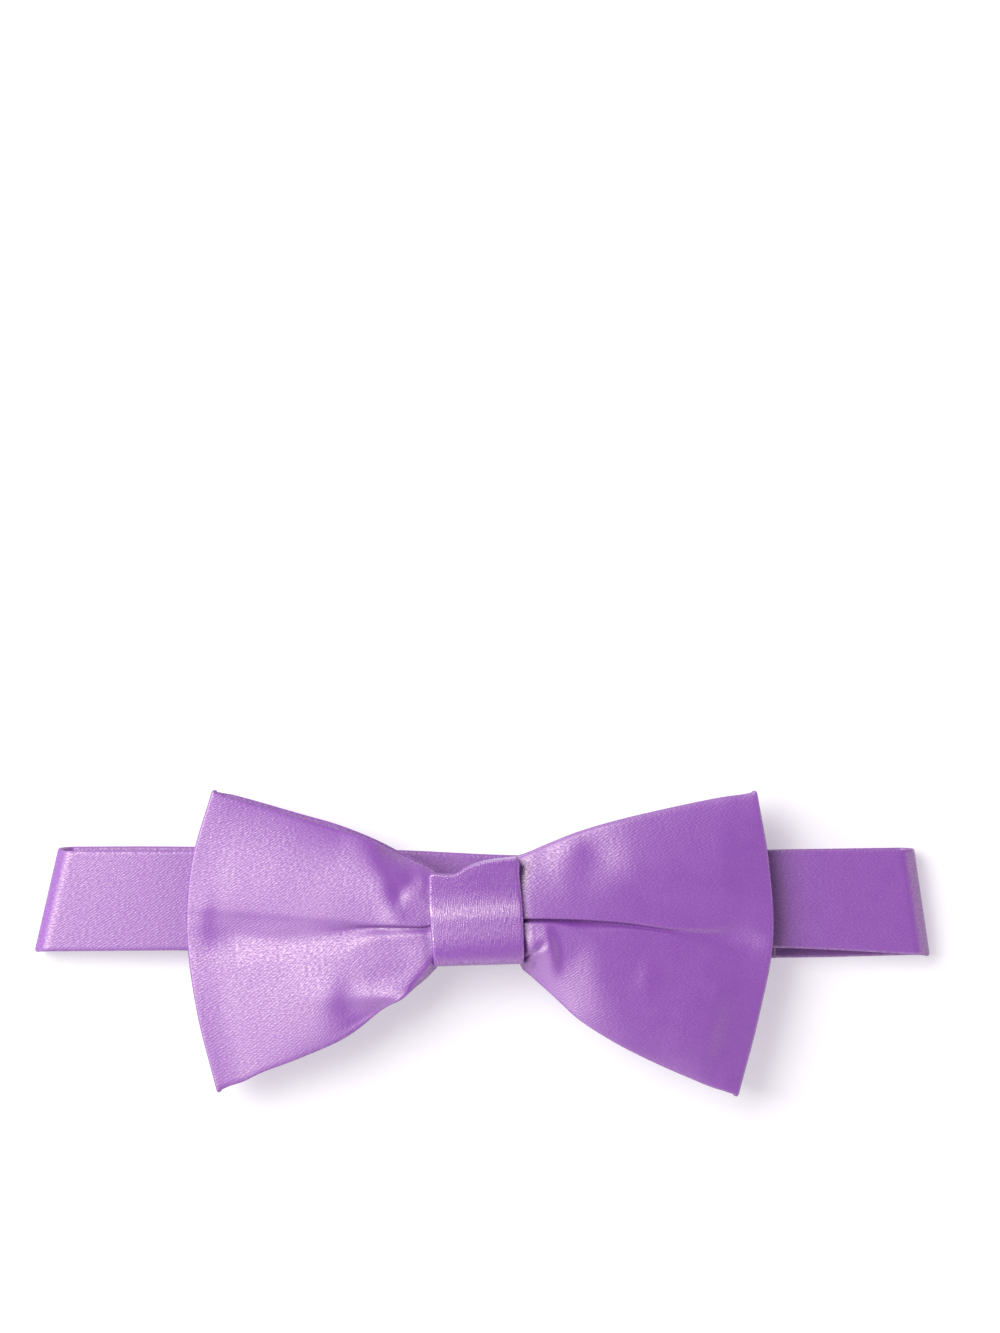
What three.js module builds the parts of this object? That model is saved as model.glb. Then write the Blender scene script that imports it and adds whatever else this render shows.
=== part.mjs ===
// A pre-tied satin bow tie that lies on its back, with its neck band fastened and laid flat behind the bow.
// Millimetres, with +Z up, out of the bow's front, +X to the right and +Y to the bow's top.
// The origin is the middle of the footprint, on the surface that the neck band rests on.
import * as THREE from "three";

// Driving dimensions
const BOW_CLOTH = 1.1; // the bow strip: satin with its interlining, two plies
const BAND_CLOTH = 1.2;
const KNOT_CLOTH = 1.2;
const EASE = 0.3; // room between layers that lie on each other
const BAND_LOOP_HEIGHT = 6; // of the round turns at the ends of the laid band
const BAND_FALL = 58; // the front strand falls towards its turns from this far out
const END_SLOPE = 15; // degrees, where the front strand meets the turns
const BAND_REACH = { left: 90.0, right: 90.3 }; // from the origin to the turns, half way across the band
const BAND_LEAN = { left: 2.36, right: -1.55 }; // the top edge's turns lie this much further in than the middle's
const KNOT_X = -1.3; // the middle of the knot
const KNOT_WIDTH = 18.4;
const MOUTH_GAP = 0.35; // the wings open this far from the knot's sides
const FOLD_DEPTH = 3; // how far the round outer fold of a wing reaches in
const FOLD_ROUND = 2.5; // superellipse power of the outer fold's section
const CLASP_X = 34; // the middle of the clasp, behind the right wing

// Heights of the layers over the knot, from the surface up
const STRAND_TOP = 7.6; // of the band's front strand, between the wings' outer folds
const BOW_BACK = STRAND_TOP + EASE; // the underside of the bow's back layer
const KNOT_BACK = STRAND_TOP - BAND_CLOTH - EASE - KNOT_CLOTH;
const KNOT_FRONT = 17.5;

// The outer fold of each wing: its distance from the middle of the knot, from the bottom corner to the top corner
const FOLD_LINE = [
  { across: -1, left: 53.3, right: 53.5 },
  { across: -0.5, left: 57.4, right: 57.6 },
  { across: 0, left: 59.4, right: 60.5 },
  { across: 0.5, left: 58.3, right: 59.8 },
  { across: 1, left: 54.3, right: 57.3 },
];

// The front layer of each wing in sections: out is -1 at the middle of the knot, 0 at its mouth and 1 at the outer fold.
// z is the height of its surface, top and bottom are its edges, and droop is how far the edges roll back, nearer to
// the edge for a high roll. The pleat down the middle of the wing has its line at line and is dip deep there, above
// wide over the line and below wide under it. It lies in a wide valley of its own depth.
const LEFT_SECTIONS = [
  { out: -1, z: 15.8, top: 13.2, bottom: -2.2, droop: 3.6, roll: 3, dip: 2.4, above: 2.1, below: 2.1, line: 4.6, valley: 0 },
  { out: 0, z: 15.9, top: 12.2, bottom: -2.6, droop: 3.8, roll: 3, dip: 2.4, above: 1.9, below: 1.9, line: 3.9, valley: 0 },
  { out: 0.05, z: 17.0, top: 15.6, bottom: -7.7, droop: 5.0, roll: 4, dip: 2.2, above: 1.7, below: 1.7, line: 3.8, valley: 0.3 },
  { out: 0.13, z: 17.8, top: 17.6, bottom: -11.0, droop: 4.9, roll: 5, dip: 2.2, above: 1.7, below: 1.7, line: 3.9, valley: 0.7 },
  { out: 0.26, z: 17.9, top: 20.8, bottom: -14.8, droop: 3.8, roll: 6, dip: 1.9, above: 1.8, below: 1.8, line: 4.1, valley: 1.2 },
  { out: 0.43, z: 17.2, top: 24.0, bottom: -19.2, droop: 2.3, roll: 6, dip: 1.4, above: 2.8, below: 2.0, line: 2.9, valley: 1.5 },
  { out: 0.61, z: 16.2, top: 26.3, bottom: -22.8, droop: 1.2, roll: 6, dip: 1.1, above: 4.4, below: 2.2, line: 1.8, valley: 1.4 },
  { out: 0.8, z: 14.9, top: 28.9, bottom: -26.3, droop: 0.6, roll: 6, dip: 0.9, above: 5.2, below: 2.4, line: 1.4, valley: 0.8 },
  { out: 0.88, z: 14.2, top: 29.7, bottom: -27.9, droop: 0.5, roll: 6, dip: 0.8, above: 5.4, below: 2.6, line: 1.5, valley: 0.4 },
  { out: 0.94, z: 13.7, top: 30.2, bottom: -28.8, droop: 0.2, roll: 6, dip: 0.2, above: 4.0, below: 2.8, line: 2.4, valley: 0.1 },
  { out: 1, z: 13.1, top: 31.0, bottom: -30.1, droop: 0, roll: 6, dip: 0, above: 4.0, below: 2.8, line: 3.0, valley: 0 },
];
const RIGHT_SECTIONS = [
  { out: -1, z: 15.8, top: 13.2, bottom: -2.2, droop: 3.6, roll: 3, dip: 2.4, above: 2.1, below: 2.1, line: 4.6, valley: 0 },
  { out: 0, z: 15.9, top: 15.0, bottom: -2.2, droop: 3.8, roll: 3, dip: 2.5, above: 2.0, below: 2.0, line: 4.7, valley: 0 },
  { out: 0.05, z: 17.1, top: 18.9, bottom: -7.1, droop: 5.2, roll: 3.5, dip: 2.8, above: 1.9, below: 1.9, line: 4.8, valley: 0 },
  { out: 0.13, z: 18.3, top: 20.7, bottom: -10.4, droop: 5.6, roll: 4, dip: 2.8, above: 1.9, below: 2.0, line: 4.9, valley: 0 },
  { out: 0.26, z: 18.8, top: 23.0, bottom: -15.1, droop: 4.6, roll: 4, dip: 2.8, above: 2.0, below: 2.4, line: 4.7, valley: 0.2 },
  { out: 0.43, z: 18.2, top: 25.3, bottom: -19.9, droop: 3.2, roll: 4, dip: 2.4, above: 2.2, below: 2.8, line: 3.6, valley: 0.4 },
  { out: 0.61, z: 17.0, top: 27.5, bottom: -24.2, droop: 2.0, roll: 4, dip: 1.6, above: 2.8, below: 3.2, line: 2.1, valley: 0.6 },
  { out: 0.8, z: 15.3, top: 29.3, bottom: -27.9, droop: 1.0, roll: 4, dip: 0.9, above: 3.4, below: 3.8, line: 1.0, valley: 0.5 },
  { out: 0.88, z: 14.2, top: 29.9, bottom: -29.0, droop: 0.5, roll: 4, dip: 0.4, above: 3.8, below: 4.2, line: 0.7, valley: 0.2 },
  { out: 0.94, z: 13.4, top: 30.3, bottom: -29.8, droop: 0.2, roll: 4, dip: 0.1, above: 4.0, below: 4.4, line: 0.7, valley: 0 },
  { out: 1, z: 12.8, top: 30.8, bottom: -30.8, droop: 0, roll: 4, dip: 0, above: 4.0, below: 4.4, line: 0.6, valley: 0 },
];
const VALLEY_WIDTH = 11;
const BACK_PEEK = { left: 0.7, right: 0 }; // how far the back layer's top edge shows past the front layer's

// Dents and swellings of the front layer: their middle, the turn of their long axis in degrees from +X, half their
// length, half their width to the right and to the left of that axis, and how far they rise.
const DENTS = [
  { x: -17.8, y: 15.0, turn: -75, long: 7.0, right: 3.0, left: 8.0, rise: -1.5 }, // furrow above the left pleat
  { x: -14.0, y: 7.4, turn: 0, long: 3.0, right: 2.8, left: 3.0, rise: 0.8 }, // swelling between it and the knot
  { x: -24.5, y: -15.5, turn: 27, long: 7.5, right: 3.6, left: 4.2, rise: -2.4 }, // hollow at the left lower edge
  { x: -22.0, y: -9.2, turn: 5, long: 6.0, right: 2.0, left: 2.6, rise: 0.7 }, // roll above that hollow
  { x: -53.5, y: 1.4, turn: 0, long: 3.4, right: 2.4, left: 2.4, rise: -0.4 }, // dimple at the left pleat's outer end
  { x: 24.0, y: 17.5, turn: -50, long: 4.8, right: 3.2, left: 2.6, rise: -0.9 }, // dimple in the right upper half
  { x: 13.3, y: -2.6, turn: 84, long: 3.6, right: 1.8, left: 1.8, rise: 0.7 }, // crumple below the right pleat
  { x: 16.8, y: -1.8, turn: 50, long: 3.2, right: 2.2, left: 2.0, rise: -0.9 },
  { x: 50.5, y: 1.0, turn: 0, long: 4.4, right: 2.8, left: 2.8, rise: -0.5 }, // dimple at the right pleat's outer end
];

// The knot's top and bottom edges along its width
const KNOT_EDGES = [
  { x: -10.5, top: 14.3, bottom: -4.6 },
  { x: -6.5, top: 14.1, bottom: -4.5 },
  { x: -3.2, top: 15.5, bottom: -4.4 },
  { x: 1.0, top: 16.8, bottom: -4.3 },
  { x: 7.9, top: 17.6, bottom: -4.1 },
];
// How far its left and right sides lie from its middle, from the bottom up
const KNOT_SIDES = [
  { y: -4.5, left: 8.3, right: 9.45 },
  { y: 2, left: 8.8, right: 9.2 },
  { y: 8, left: 9.25, right: 8.9 },
  { y: 12, left: 9.15, right: 8.6 },
  { y: 15, left: 8.9, right: 8.2 },
];
const KNOT_ROUND = { front: 2.8, back: 8 }; // superellipse powers: round in front, squarer where it lies on the band

// The edges of the neck band's two strands. The front strand is gathered where it goes through the knot.
const FRONT_STRAND = [
  { x: -88, top: 18.2, bottom: -1.5 },
  { x: -60, top: 18.2, bottom: -1.2 },
  { x: -24, top: 18.1, bottom: -1.0 },
  { x: -11.5, top: 11.4, bottom: -1.5 },
  { x: -1.3, top: 12.0, bottom: -1.4 },
  { x: 9, top: 13.2, bottom: -1.2 },
  { x: 22, top: 18.2, bottom: -1.2 },
  { x: 60, top: 18.3, bottom: -0.7 },
  { x: 89, top: 18.4, bottom: -2.2 },
];
const BACK_STRAND = [
  { x: -88, top: 18.8, bottom: -1.6 },
  { x: -64, top: 18.8, bottom: -1.6 },
  { x: 0, top: 18.0, bottom: -3.0 },
  { x: 62, top: 18.2, bottom: -3.1 },
  { x: 89, top: 18.6, bottom: -2.5 },
];

// The clasp is one plate with a slot near each end. Each end of the band goes round an end bar and back over itself.
const CLASP_PLATE = { length: 24, width: 25, thick: 1.2, corner: 2.4 };
const CLASP_SLOT = { length: 3.4, width: 22.4, corner: 0.8 };
const CLASP_BAR = 2; // width of the bar between a slot and the plate's end
const CLASP_Y = 7.6;
const TAIL_LENGTH = 14; // of the band's end past the bar
const TAIL_SLOPE = 5; // along which the tail comes down from the bar to the band

// Steps of the faceted surfaces
const FRONT_STEPS = 18;
const FOLD_STEPS = 8;
const BACK_STEPS = 7;
const BOW_STEPS_ACROSS = 18;
const KNOT_STEPS_ROUND = 40;
const KNOT_STEPS_ALONG = 6;
const BAND_STEPS_ACROSS = 2;

const satin = (name) =>
  new THREE.MeshStandardMaterial({ name, color: 0xa86cc6, roughness: 0.4, metalness: 0 });
const steel = new THREE.MeshStandardMaterial({ name: "steel", color: 0xb9bbc0, roughness: 0.3, metalness: 1 });

// A smooth curve through one column of a table: cubic pieces whose slopes come from the neighbouring rows.
function column(rows, from, to) {
  const slope = (i, j) => (rows[j][to] - rows[i][to]) / (rows[j][from] - rows[i][from]);
  const last = rows.length - 1;
  const slopes = rows.map((_, i) => slope(Math.max(i - 1, 0), Math.min(i + 1, last)));
  return (at) => {
    const x = Math.min(Math.max(at, rows[0][from]), rows[last][from]);
    let i = rows.findIndex((row) => row[from] >= x);
    i = Math.max(i, 1);
    const step = rows[i][from] - rows[i - 1][from];
    const t = (x - rows[i - 1][from]) / step;
    const rise = 3 * t * t - 2 * t * t * t;
    return (
      rows[i - 1][to] * (1 - rise) +
      rows[i][to] * rise +
      step * t * (1 - t) * (slopes[i - 1] * (1 - t) - slopes[i] * t)
    );
  };
}

const columns = (rows, from) =>
  Object.fromEntries(
    Object.keys(rows[0])
      .filter((name) => name !== from)
      .map((name) => [name, column(rows, from, name)]),
  );

// A closed wall from a grid of points on its outer face, grid[i][j], with i along the cloth and j across it.
// The inner face lies the cloth's thickness behind the outer one. A closed wall's last row meets its first.
function wall(grid, thickness, closed) {
  const rows = grid.length;
  const points = grid[0].length;
  const row = (i) => (closed ? (i + rows) % rows : Math.min(Math.max(i, 0), rows - 1));
  const positions = [];
  const inner = [];
  const along = new THREE.Vector3();
  const across = new THREE.Vector3();
  for (let i = 0; i < rows; i++) {
    for (let j = 0; j < points; j++) {
      along.subVectors(grid[row(i + 1)][j], grid[row(i - 1)][j]);
      across.subVectors(grid[i][Math.min(j + 1, points - 1)], grid[i][Math.max(j - 1, 0)]);
      const normal = along.clone().cross(across).normalize();
      positions.push(...grid[i][j].toArray());
      inner.push(...grid[i][j].clone().addScaledVector(normal, -thickness).toArray());
    }
  }
  positions.push(...inner);

  const index = [];
  const outerAt = (i, j) => row(i) * points + j;
  const innerAt = (i, j) => rows * points + outerAt(i, j);
  const quad = (a, b, c, d) => index.push(a, b, c, a, c, d);
  const spans = closed ? rows : rows - 1;
  for (let i = 0; i < spans; i++) {
    for (let j = 0; j < points - 1; j++) {
      quad(outerAt(i, j), outerAt(i + 1, j), outerAt(i + 1, j + 1), outerAt(i, j + 1));
      quad(innerAt(i, j), innerAt(i, j + 1), innerAt(i + 1, j + 1), innerAt(i + 1, j));
    }
    quad(outerAt(i + 1, 0), outerAt(i, 0), innerAt(i, 0), innerAt(i + 1, 0));
    const j = points - 1;
    quad(outerAt(i, j), outerAt(i + 1, j), innerAt(i + 1, j), innerAt(i, j));
  }
  if (!closed) {
    for (let j = 0; j < points - 1; j++) {
      quad(outerAt(0, j), outerAt(0, j + 1), innerAt(0, j + 1), innerAt(0, j));
      const i = rows - 1;
      quad(outerAt(i, j + 1), outerAt(i, j), innerAt(i, j), innerAt(i, j + 1));
    }
  }
  const geometry = new THREE.BufferGeometry();
  geometry.setAttribute("position", new THREE.Float32BufferAttribute(positions, 3));
  geometry.setIndex(index);
  geometry.computeVertexNormals();
  return geometry;
}

function named(name, geometry, material) {
  const mesh = new THREE.Mesh(geometry, material);
  mesh.name = name;
  return mesh;
}

// A superellipse's cosine or sine: round for the power 2, and squarer for more.
const rounded = (share, power) => Math.sign(share) * Math.abs(share) ** (2 / power);

// How far the dents and swellings lift the front layer at a point.
function dentsAt(x, y) {
  return DENTS.reduce((sum, dent) => {
    const turn = THREE.MathUtils.degToRad(dent.turn);
    const dx = x - dent.x;
    const dy = y - dent.y;
    const lengthwise = (dx * Math.cos(turn) + dy * Math.sin(turn)) / dent.long;
    const off = dy * Math.cos(turn) - dx * Math.sin(turn);
    const sidewise = off / (off > 0 ? dent.left : dent.right);
    return sum + dent.rise * Math.exp(-(lengthwise ** 2) - sidewise ** 2);
  }, 0);
}

// One wing as rows of points from the middle of the knot along its front, round its outer fold and back.
function wing(side, name, sections) {
  const at = columns(sections, "out");
  const reachAt = column(FOLD_LINE, "across", name);
  const sideAt = column(KNOT_SIDES, "y", name);
  const yAt = (out, across, peek) => {
    const line = at.line(out); // the rows' middle points lie on the pleat's line
    const top = at.top(out) + peek * Math.sin(Math.PI * Math.max(out, 0));
    return line + across * (across > 0 ? top - line : line - at.bottom(out));
  };
  const mouthAt = (across) => sideAt(yAt(0, across, 0)) + MOUTH_GAP;
  const xAt = (out, across) => {
    const mouth = mouthAt(across);
    return KNOT_X + side * (out < 0 ? mouth * (1 + out) : mouth + out * (reachAt(across) - mouth));
  };
  const foldFrom = (across) => 1 - FOLD_DEPTH / (reachAt(across) - mouthAt(across));
  const front = (out, across) => {
    const x = xAt(out, across);
    const y = yAt(out, across, 0);
    const off = y - at.line(out);
    const wide = off > 0 ? at.above(out) : at.below(out);
    const pleat = at.dip(out) * Math.exp(-((off / wide) ** 2)) + at.valley(out) * Math.exp(-((off / VALLEY_WIDTH) ** 2));
    const z = at.z(out) - at.droop(out) * Math.abs(across) ** at.roll(out) - pleat + dentsAt(x, y);
    return new THREE.Vector3(x, y, z);
  };
  const fold = (turn, across) => {
    const from = foldFrom(across);
    const rise = rounded(Math.cos(turn), FOLD_ROUND);
    const point = front(from + (1 - from) * rounded(Math.sin(turn), FOLD_ROUND), across);
    const high = rise > 0 ? point.z : front(1, across).z;
    point.z = BOW_BACK + ((high - BOW_BACK) * (1 + rise)) / 2;
    return point;
  };
  const back = (out, across) =>
    new THREE.Vector3(xAt(out, across), yAt(out, across, BACK_PEEK[name]), BOW_BACK);
  const row = (point) =>
    Array.from({ length: BOW_STEPS_ACROSS + 1 }, (_, j) => {
      const step = (2 * j) / BOW_STEPS_ACROSS - 1;
      return point(step * (0.5 + 0.5 * Math.abs(step))); // closer together at the pleat
    });
  const ways = (steps, ease) => // from the middle of the knot to the beginning of the outer fold
    [-1, -0.5].concat(Array.from({ length: steps }, (_, i) => (i / steps) * (1 - ease + (ease * i) / steps)));
  const at0 = (way, across) => (way < 0 ? way : way * foldFrom(across));
  const rows = ways(FRONT_STEPS, 0.5).map((way) => row((across) => front(at0(way, across), across)));
  for (let i = 0; i <= FOLD_STEPS; i++) rows.push(row((across) => fold((Math.PI * i) / FOLD_STEPS, across)));
  const inward = ways(BACK_STEPS, 0).reverse();
  rows.push(...inward.map((way) => row((across) => back(at0(way, across), across))));
  return rows;
}

// The bow: one strip of cloth whose ends meet behind the knot, so that it makes a closed loop with two wings.
function bowLoop() {
  const right = wing(1, "right", RIGHT_SECTIONS);
  const left = wing(-1, "left", LEFT_SECTIONS).reverse();
  const rows = [...right, ...left.slice(1, -1)]; // both wings hold the lines at the middle of the knot
  return named("bow_loop", wall(rows, BOW_CLOTH, true), satin("bow_satin"));
}

// The knot: a short strip wrapped once round the bow and the band's front strand.
function knotWrap() {
  const at = columns(KNOT_EDGES, "x");
  const sides = columns(KNOT_SIDES, "y");
  const half = (KNOT_FRONT - KNOT_BACK) / 2;
  const rows = Array.from({ length: KNOT_STEPS_ROUND }, (_, i) => {
    const turn = (2 * Math.PI * i) / KNOT_STEPS_ROUND;
    const round = Math.sin(turn) > 0 ? KNOT_ROUND.front : KNOT_ROUND.back;
    return Array.from({ length: KNOT_STEPS_ALONG + 1 }, (_, j) => {
      const share = j / KNOT_STEPS_ALONG;
      const along = KNOT_X + KNOT_WIDTH * (share - 0.5);
      const middle = (at.top(along) + at.bottom(along)) / 2;
      const y = middle + (at.top(along) - middle) * rounded(Math.cos(turn), round);
      const x = KNOT_X - sides.left(y) * (1 - share) + sides.right(y) * share;
      return new THREE.Vector3(x, y, KNOT_BACK + half + half * rounded(Math.sin(turn), round));
    });
  });
  return named("knot_wrap", wall(rows, KNOT_CLOTH, true), satin("knot_satin"));
}

// The outer face of the neck band seen from its edge, as curves from one sewn-back end round to the other.
function bandPath() {
  const radius = BAND_LOOP_HEIGHT / 2;
  const innerTurn = CLASP_PLATE.thick / 2 + EASE;
  const endTurn = innerTurn + BAND_CLOTH;
  const barEnd = CLASP_PLATE.length / 2;
  const turnAt = barEnd - CLASP_BAR - EASE; // middle of the round turn that goes round an end bar
  const slopeAt = barEnd + EASE;
  const tailHigh = 2 * endTurn;
  const tailLow = 2 * BAND_CLOTH + EASE;
  const tailEnd = slopeAt + TAIL_LENGTH;
  const left = -BAND_REACH.left + radius;
  const right = BAND_REACH.right - radius;
  const point = (x, z) => new THREE.Vector2(x, z);
  const line = (x0, z0, x1, z1, steps) => ({ curve: new THREE.LineCurve(point(x0, z0), point(x1, z1)), steps });
  const level = (x0, z0, x1, z1, steps) => {
    const middle = (x0 + x1) / 2;
    const ends = [point(x0, z0), point(middle, z0), point(middle, z1), point(x1, z1)];
    return { curve: new THREE.CubicBezierCurve(...ends), steps };
  };
  const arc = (x, z, r, from, to, clockwise, steps) => ({
    curve: new THREE.EllipseCurve(x, z, r, r, from, to, clockwise),
    steps,
  });
  const up = Math.PI / 2;
  const down = -Math.PI / 2;
  const slope = THREE.MathUtils.degToRad(END_SLOPE);
  const endX = radius * Math.sin(slope); // the round turns end this far past their tops
  const endZ = radius * (1 + Math.cos(slope));
  const crest = (STRAND_TOP - endZ) / Math.tan(slope);
  const rise = (x, toX, way) => {
    const ends = [point(x, endZ), point(x + way * crest, STRAND_TOP), point(toX, STRAND_TOP)];
    return new THREE.QuadraticBezierCurve(...(way > 0 ? ends : ends.reverse()));
  };
  return [
    line(CLASP_X - tailEnd, tailLow, CLASP_X - slopeAt - TAIL_SLOPE, tailLow, 1),
    level(CLASP_X - slopeAt - TAIL_SLOPE, tailLow, CLASP_X - slopeAt, tailHigh, 4),
    line(CLASP_X - slopeAt, tailHigh, CLASP_X - turnAt, tailHigh, 1),
    arc(CLASP_X - turnAt, endTurn, endTurn, up, down, true, 8),
    line(CLASP_X - turnAt, 0, left, 0, 12),
    arc(left, radius, radius, down, up + slope, true, 10),
    { curve: rise(left - endX, -BAND_FALL, 1), steps: 7 },
    line(-BAND_FALL, STRAND_TOP, BAND_FALL, STRAND_TOP, 34),
    { curve: rise(right + endX, BAND_FALL, -1), steps: 7 },
    arc(right, radius, radius, up - slope, down, true, 10),
    line(right, 0, CLASP_X + turnAt, 0, 6),
    arc(CLASP_X + turnAt, endTurn, endTurn, down, up, true, 8),
    line(CLASP_X + turnAt, tailHigh, CLASP_X + slopeAt, tailHigh, 1),
    level(CLASP_X + slopeAt, tailHigh, CLASP_X + slopeAt + TAIL_SLOPE, tailLow, 4),
    line(CLASP_X + slopeAt + TAIL_SLOPE, tailLow, CLASP_X + tailEnd, tailLow, 1),
  ];
}

// The neck band: a flat tube of satin, laid as a loop whose turns are wider at the bottom edge than at the top.
function neckBand() {
  const front = columns(FRONT_STRAND, "x");
  const back = columns(BACK_STRAND, "x");
  const path = bandPath().flatMap(({ curve, steps }) => curve.getPoints(steps).slice(1));
  path.unshift(bandPath()[0].curve.getPoint(0));
  const leanFrom = 62;
  const rows = path.map(({ x, y: z }) => {
    const share = THREE.MathUtils.smoothstep(z, BAND_CLOTH * 4, BAND_LOOP_HEIGHT - BAND_CLOTH);
    const top = THREE.MathUtils.lerp(back.top(x), front.top(x), share);
    const bottom = THREE.MathUtils.lerp(back.bottom(x), front.bottom(x), share);
    const lean = x < 0 ? BAND_LEAN.left : BAND_LEAN.right;
    const shift = lean * THREE.MathUtils.smoothstep(Math.abs(x), leanFrom, BAND_REACH.left);
    return Array.from({ length: BAND_STEPS_ACROSS + 1 }, (_, j) => {
      const across = (2 * j) / BAND_STEPS_ACROSS - 1;
      return new THREE.Vector3(x + shift * across, bottom + ((top - bottom) * (1 + across)) / 2, z);
    });
  });
  return named("neck_band", wall(rows, BAND_CLOTH, false), satin("band_satin"));
}

// A rectangle with round corners, drawn on a shape or a hole.
function roundedRectangle(outline, middleX, length, width, corner) {
  const x = middleX + length / 2;
  const y = width / 2;
  const centres = [
    [x - corner, y - corner, 0],
    [middleX - length / 2 + corner, y - corner, Math.PI / 2],
    [middleX - length / 2 + corner, corner - y, Math.PI],
    [x - corner, corner - y, (3 * Math.PI) / 2],
  ];
  outline.moveTo(x, y - corner);
  for (const [cx, cy, from] of centres) outline.absarc(cx, cy, corner, from, from + Math.PI / 2, false);
  outline.closePath();
  return outline;
}

function clasp() {
  const { length, width, thick, corner } = CLASP_PLATE;
  const shape = roundedRectangle(new THREE.Shape(), 0, length, width, corner);
  for (const side of [-1, 1]) {
    const middle = side * (length / 2 - CLASP_BAR - CLASP_SLOT.length / 2);
    const hole = new THREE.Path();
    shape.holes.push(roundedRectangle(hole, middle, CLASP_SLOT.length, CLASP_SLOT.width, CLASP_SLOT.corner));
  }
  const geometry = new THREE.ExtrudeGeometry(shape, { depth: thick, bevelEnabled: false, curveSegments: 4 });
  const mesh = named("clasp", geometry, steel);
  mesh.position.set(CLASP_X, CLASP_Y, BAND_CLOTH + EASE);
  return mesh;
}

const bowTie = new THREE.Group();
bowTie.add(bowLoop(), knotWrap(), neckBand(), clasp());

export default bowTie;
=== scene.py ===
import math

import bpy
import numpy as np
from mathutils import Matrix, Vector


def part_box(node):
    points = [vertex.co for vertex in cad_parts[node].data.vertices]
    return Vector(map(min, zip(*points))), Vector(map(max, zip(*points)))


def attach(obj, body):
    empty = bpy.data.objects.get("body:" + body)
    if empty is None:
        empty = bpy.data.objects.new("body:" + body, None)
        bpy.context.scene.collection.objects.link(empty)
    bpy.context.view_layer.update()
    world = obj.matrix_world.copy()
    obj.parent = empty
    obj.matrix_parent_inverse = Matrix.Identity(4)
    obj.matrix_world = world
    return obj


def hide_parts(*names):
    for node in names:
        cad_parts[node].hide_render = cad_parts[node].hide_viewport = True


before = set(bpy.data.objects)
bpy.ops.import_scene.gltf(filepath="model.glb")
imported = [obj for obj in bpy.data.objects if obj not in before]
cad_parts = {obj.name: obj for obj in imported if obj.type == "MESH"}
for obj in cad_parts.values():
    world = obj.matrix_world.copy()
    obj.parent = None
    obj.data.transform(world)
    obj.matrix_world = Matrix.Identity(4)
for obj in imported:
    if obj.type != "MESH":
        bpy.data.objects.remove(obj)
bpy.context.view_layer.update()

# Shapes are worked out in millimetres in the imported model's frame, and put into their meshes in metres.
MM = 0.001

# The camera looks straight down from above the middle of the photograph's frame.
PHOTO_HEIGHT = 1333
PIXEL = 0.2048  # of the photograph, in millimetres at LEVEL above the floor
LEVEL = 9
CAMERA = (3.4, 56.5, 1000)
SENSOR = 24

# The key light's direction from the bow, its distance, the side of its square panel and its watts
KEY_FROM = (-0.54, 0.36, 0.80)
KEY_DISTANCE = 900
KEY_SIDE = 720
KEY_POWER = 14.4
# The fill comes from low down all round, less of it from beyond the top edge, and little from overhead.
# Each change runs between two heights or depths of the direction that the light comes from.
FILL_LOW = 1.5
FILL_OVERHEAD = 0.15
FILL_HEIGHTS = (0.4, 0.9)
FILL_BEYOND = 0.35
FILL_DEPTHS = (0.0, 0.7)
# The board is exposed to white in the open. Its glow is painted light: an even emission that lightens the
# tie's shadows on it and gives them a lilac tinge, in place of light thrown back from the satin.
BOARD_WHITE = 0.48
BOARD_PAINTED_GLOW = (0.42, 0.385, 0.44)
BOARD_REACH = 2.5  # metres

# Thickness of each cloth wall, and the gap between the band and the clasp
BOW_CLOTH = 0.9
KNOT_CLOTH = 0.8
BAND_CLOTH = 1.1
EASE = 0.3

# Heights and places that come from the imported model
BOW_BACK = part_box("bow_loop")[0][2] / MM
BAND_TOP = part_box("neck_band")[1][2] / MM
knot_low, knot_high = (np.array(corner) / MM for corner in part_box("knot_wrap"))
clasp_low, clasp_high = (np.array(corner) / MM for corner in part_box("clasp"))

KNOT_X = -1.3
KNOT_WIDTH = 18.4
MOUTH_GAP = 0.05  # the wings open this far from the knot's sides
FOLD_DEPTH = 1.0  # the outer fold begins this far inside its line

# Each wing's outer fold: its distance from the knot's middle, from its bottom corner (-1) to its top one
FOLD_LINE = {
    "across": (-1, -0.5, 0, 0.5, 1),
    "left": (53.3, 57.4, 59.4, 58.3, 54.3),
    "right": (53.5, 57.6, 60.5, 59.8, 57.3),
}

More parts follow.
